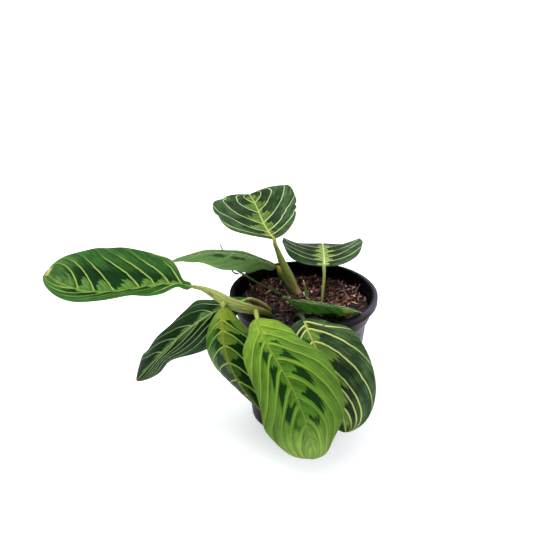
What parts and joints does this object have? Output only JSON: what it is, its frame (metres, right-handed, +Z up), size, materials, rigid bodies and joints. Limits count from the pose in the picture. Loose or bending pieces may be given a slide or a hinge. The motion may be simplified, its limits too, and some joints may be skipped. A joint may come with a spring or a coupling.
{
  "type": "potted prayer plant",
  "caption": "Prayer plant in a round plastic nursery pot: broad pleated oval leaves on short sheathed stalks rise from coarse soil and droop over the rim.",
  "frame": {"origin": "centre of the pot's base on the surface that it stands on", "axes": "+Z up out of the pot, +X along the plant's long way, away from the longest leaf; the picture looks along +Y"},
  "size_m": [0.2634, 0.2091, 0.1721],
  "materials": {
    "pot_plastic": "moulded black plastic, slight sheen",
    "soil_coir": "coarse coir chips and fibre, dull",
    "leaf_dark": "dark green blade with lime side veins and a pale feathered centre, satin",
    "leaf_young": "yellow-green blade with dark green blotches between the veins, satin",
    "petiole": "yellow-green stalk, satin, brown at the sheath margins",
    "dry_bract": "dry brown bract, dull"
  },
  "bodies": {
    "root": {"pot": "pot_plastic", "soil": "soil_coir", "leaf_top": "leaf_dark", "leaf_back": "leaf_dark", "leaf_left": "leaf_dark", "leaf_mid": "leaf_dark", "leaf_low": "leaf_dark", "leaf_yellow": "leaf_young", "leaf_front": "leaf_young", "leaf_right": "leaf_dark", "leaf_rim": "leaf_dark", "petiole_top": "petiole", "petiole_back": "petiole", "sheath_left": "petiole", "petiole_mid": "petiole", "petiole_low": "petiole", "petiole_yellow": "petiole", "petiole_front": "petiole", "petiole_right": "petiole", "petiole_rim": "petiole", "shoot_spike": "petiole", "flower_stalk": "petiole", "flower_bract": "dry_bract"}
  },
  "joints": []
}
